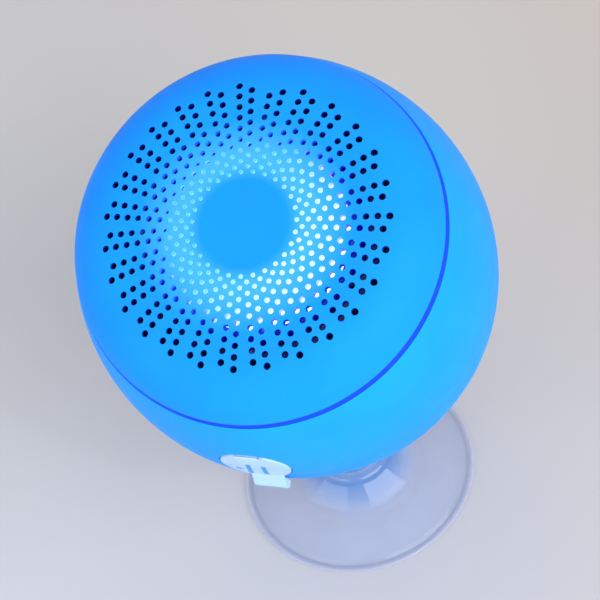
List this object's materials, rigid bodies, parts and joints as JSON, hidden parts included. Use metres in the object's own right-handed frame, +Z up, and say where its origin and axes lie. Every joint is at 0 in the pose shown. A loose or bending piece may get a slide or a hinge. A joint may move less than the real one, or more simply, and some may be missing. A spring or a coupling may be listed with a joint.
{
  "type": "shower speaker",
  "caption": "Egg-shaped wireless shower speaker with a perforated face, a port cover, and a tilting, turning neck on a clear suction cup.",
  "frame": {"origin": "middle of the suction cup's contact ring, on the surface it stands on", "axes": "+Z up along the suction cup's axis; the speaker's face leans 22 degrees towards -Y, with the charging port on the -Y side; X along the tilt pin"},
  "size_m": [0.074, 0.0777, 0.1081],
  "materials": {
    "casing_blue": "satin moulded ABS",
    "seam_blue": "smooth silicone gasket",
    "cover_white": "smooth silicone",
    "icon_blue": "printed inlay",
    "cup_clear": "clear glossy PVC",
    "neck_blue": "satin moulded ABS",
    "hub_clear": "clear polycarbonate",
    "steel": "machined steel",
    "black_plastic": "moulded",
    "white_plastic": "moulded",
    "black_rubber": "soft moulded",
    "cone_white": "pressed polypropylene",
    "plated_steel": "black passivated",
    "ferrite": "sintered",
    "copper": "enamelled wire",
    "paper_brown": "resin-treated cloth",
    "board_green": "solder mask",
    "chip_black": "moulded epoxy",
    "shield_tin": "tinned",
    "light_lens": "clear epoxy",
    "battery_foil": "laminated foil",
    "foam_grey": "closed-cell foam",
    "lead_red": "insulation",
    "nylon_white": "nylon"
  },
  "bodies": {
    "mount": {"suction_cup": "cup_clear", "cup_hub": "hub_clear", "swivel_washer": "nylon_white", "swivel_screw": "steel"},
    "fork": {"swivel_fork": "neck_blue", "tilt_pin": "steel", "tilt_washers": "nylon_white"},
    "diaphragm": {"driver_cone": "cone_white", "dust_cap": "cone_white", "coil_former": "paper_brown", "voice_coil": "copper"},
    "cover": {"port_cover": "cover_white", "cover_icon": "icon_blue"},
    "switch": {"switch_knob": "white_plastic"},
    "speaker": {"front_cap": "casing_blue", "seam_gasket": "seam_blue", "rear_shell": "casing_blue", "baffle": "black_plastic", "baffle_screws": "steel", "driver_basket": "plated_steel", "driver_screws": "steel", "driver_top_plate": "shield_tin", "driver_magnet": "ferrite", "driver_yoke": "shield_tin", "surround": "black_rubber", "spider": "paper_brown", "driver_terminal": "black_plastic", "speaker_leads": "lead_red", "main_board": "board_green", "board_screws": "steel", "radio_module": "shield_tin", "amplifier_chip": "chip_black", "board_parts": "chip_black", "microphone": "shield_tin", "status_light": "light_lens", "battery": "battery_foil", "battery_tray": "black_plastic", "tray_screws": "steel", "foam_pad": "foam_grey", "battery_leads": "lead_red", "port_bezel": "white_plastic", "usb_socket": "shield_tin", "usb_tongue": "black_plastic", "switch_body": "black_plastic", "cover_strap": "cover_white", "neck_mount": "neck_blue", "neck_seal": "black_rubber", "neck_screws": "steel"}
  },
  "joints": [
    {"name": "neck_swivel", "type": "hinge", "parent": "mount", "child": "fork", "pos_m": [0, 0, 0.0112], "axis": [0, 0, 1], "continuous": true},
    {"name": "neck_tilt", "type": "hinge", "parent": "fork", "child": "speaker", "pos_m": [0, 0, 0.0175], "axis": [1, 0, 0], "range_deg": [-35, 35]},
    {"name": "cone_travel", "type": "slide", "parent": "speaker", "child": "diaphragm", "axis": [0, -0.3746, 0.9272], "range_m": [-0.0008, 0.0008], "stiffness_N_per_m": 200},
    {"name": "cover_hinge", "type": "hinge", "parent": "speaker", "child": "cover", "pos_m": [-0.00193, -0.03748, 0.06797], "axis": [-0.9985, 0.0501, 0.0203], "range_deg": [0, 90]},
    {"name": "switch_slide", "type": "slide", "parent": "speaker", "child": "switch", "axis": [0, -0.3746, 0.9272], "range_m": [0, 0.002]}
  ]
}
